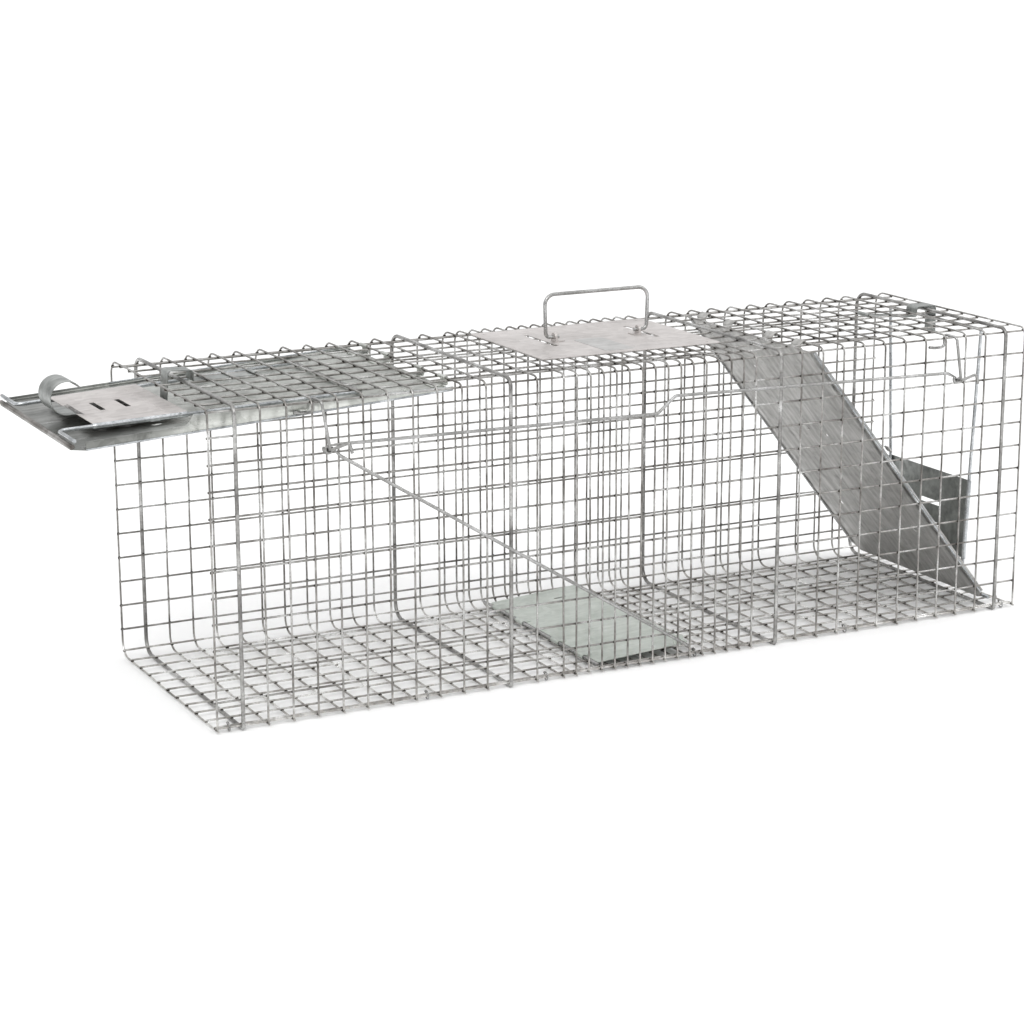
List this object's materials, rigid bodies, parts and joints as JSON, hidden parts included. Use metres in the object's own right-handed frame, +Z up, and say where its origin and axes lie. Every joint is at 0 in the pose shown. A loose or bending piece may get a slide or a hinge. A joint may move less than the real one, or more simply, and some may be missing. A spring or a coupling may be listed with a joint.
{
  "type": "live catch trap",
  "caption": "Two-door welded mesh live catch trap with drop doors, lock bails, trip pan and linkage, and a folding carry handle.",
  "frame": {"origin": "centre of the cage's footprint, on the surface it stands on", "axes": "+Z up, +X along the cage from the open door's end to the closed door's end, -Y towards the linkage side"},
  "size_m": [1.0538, 0.2902, 0.3596],
  "materials": {
    "galvanised_wire": "satin",
    "ring_wire": "satin",
    "rod_wire": "satin",
    "left_door_sheet": "semi-gloss",
    "right_door_sheet": "satin",
    "warm_sheet": "satin",
    "pan_sheet": "satin"
  },
  "bodies": {
    "cage": {"top_mesh": "galvanised_wire", "near_wall_mesh": "galvanised_wire", "far_wall_mesh": "galvanised_wire", "floor_mesh": "galvanised_wire", "near_top_bend": "galvanised_wire", "far_top_bend": "galvanised_wire", "far_bottom_bend": "galvanised_wire", "edge_ties": "rod_wire", "ring_wire_1": "ring_wire", "ring_wire_2": "ring_wire", "ring_wire_3": "ring_wire", "ring_wire_4": "ring_wire", "left_hinge_wire": "galvanised_wire", "right_hinge_wire": "galvanised_wire", "left_latch_wire": "galvanised_wire", "right_latch_wire": "galvanised_wire", "handle_plate": "warm_sheet", "handle_lugs": "warm_sheet", "pan_pivot_rod": "rod_wire"},
    "carry_handle": {"carry_handle": "rod_wire"},
    "left_door": {"left_door": "left_door_sheet"},
    "left_lock_bar": {"left_lock_bar": "rod_wire"},
    "left_lock_bail": {"left_lock_bail": "rod_wire", "left_lock_plate": "warm_sheet"},
    "left_latch": {"left_latch": "rod_wire"},
    "left_catch": {"left_catch": "rod_wire"},
    "right_door": {"right_door": "right_door_sheet"},
    "right_lock_bar": {"right_lock_bar": "rod_wire"},
    "right_lock_bail": {"right_lock_bail": "rod_wire", "right_lock_plate": "right_door_sheet"},
    "right_latch": {"right_latch": "rod_wire"},
    "right_catch": {"right_catch": "rod_wire"},
    "link_rod": {"link_rod": "rod_wire"},
    "trip_rod": {"trip_rod": "rod_wire"},
    "trip_pan": {"trip_pan": "pan_sheet"}
  },
  "joints": [
    {"name": "handle_fold", "type": "hinge", "parent": "cage", "child": "carry_handle", "pos_m": [0.02362, 0.014, 0.31365], "axis": [1, 0, 0], "range_deg": [-78, 78]},
    {"name": "left_door_hinge", "type": "hinge", "parent": "cage", "child": "left_door", "pos_m": [-0.2032, 0, 0.307], "axis": [0, -1, 0], "range_deg": [0, 48.1]},
    {"name": "right_door_hinge", "type": "hinge", "parent": "cage", "child": "right_door", "pos_m": [0.2032, 0, 0.307], "axis": [0, -1, 0], "range_deg": [0, 48.1]},
    {"name": "pan_tilt", "type": "hinge", "parent": "cage", "child": "trip_pan", "pos_m": [-0.05207, 0, 0.0075], "axis": [0, 1, 0], "range_deg": [0, 3.4]},
    {"name": "left_lock_slide", "type": "slide", "parent": "cage", "child": "left_lock_bar", "axis": [-1, 0, 0], "range_m": [0, 0.1439]},
    {"name": "right_lock_slide", "type": "slide", "parent": "cage", "child": "right_lock_bar", "axis": [-1, 0, 0], "range_m": [0, 0.1161]},
    {"name": "left_lock_swing", "type": "hinge", "parent": "left_lock_bar", "child": "left_lock_bail", "pos_m": [-0.28448, 0, 0.2981], "axis": [0, -1, 0], "range_deg": [0, 71]},
    {"name": "right_lock_swing", "type": "hinge", "parent": "right_lock_bar", "child": "right_lock_bail", "pos_m": [0.44069, 0, 0.2981], "axis": [0, -1, 0], "range_deg": [0, 89.4]},
    {"name": "left_latch_hinge", "type": "hinge", "parent": "cage", "child": "left_latch", "pos_m": [-0.3556, 0, 0.307], "axis": [0, -1, 0], "range_deg": [0, 4]},
    {"name": "right_latch_hinge", "type": "hinge", "parent": "cage", "child": "right_latch", "pos_m": [0.3556, 0, 0.307], "axis": [0, -1, 0], "range_deg": [0, 4]},
    {"name": "left_catch_pivot", "type": "hinge", "parent": "cage", "child": "left_catch", "pos_m": [-0.35179, 0, 0.3067], "axis": [0, -1, 0], "range_deg": [0, 6.2]},
    {"name": "right_catch_pivot", "type": "hinge", "parent": "cage", "child": "right_catch", "pos_m": [0.35865, 0, 0.3067], "axis": [0, -1, 0], "range_deg": [0, 6.2]},
    {"name": "link_rod_eye", "type": "hinge", "parent": "left_catch", "child": "link_rod", "pos_m": [-0.34419, 0, 0.2607], "axis": [0, 1, 0], "range_deg": [0, 6.2]},
    {"name": "trip_rod_eye", "type": "hinge", "parent": "left_catch", "child": "trip_rod", "pos_m": [-0.34419, 0, 0.2607], "axis": [0, 1, 0], "range_deg": [0, 7.2]}
  ],
  "couplings": [
    {"joint": "left_lock_slide", "follows": "left_door_hinge", "m_per_rad": 0.17079},
    {"joint": "left_lock_swing", "follows": "left_door_hinge", "ratio": 1.4678},
    {"joint": "left_latch_hinge", "follows": "left_door_hinge", "ratio": 0.08025},
    {"joint": "right_lock_slide", "follows": "right_door_hinge", "m_per_rad": 0.13766},
    {"joint": "right_lock_swing", "follows": "right_door_hinge", "ratio": 1.8503},
    {"joint": "right_latch_hinge", "follows": "right_door_hinge", "ratio": 0.08025},
    {"joint": "left_catch_pivot", "follows": "pan_tilt", "ratio": 1.745},
    {"joint": "right_catch_pivot", "follows": "pan_tilt", "ratio": 1.745},
    {"joint": "link_rod_eye", "follows": "pan_tilt", "ratio": 1.745},
    {"joint": "trip_rod_eye", "follows": "pan_tilt", "ratio": 2.034}
  ]
}
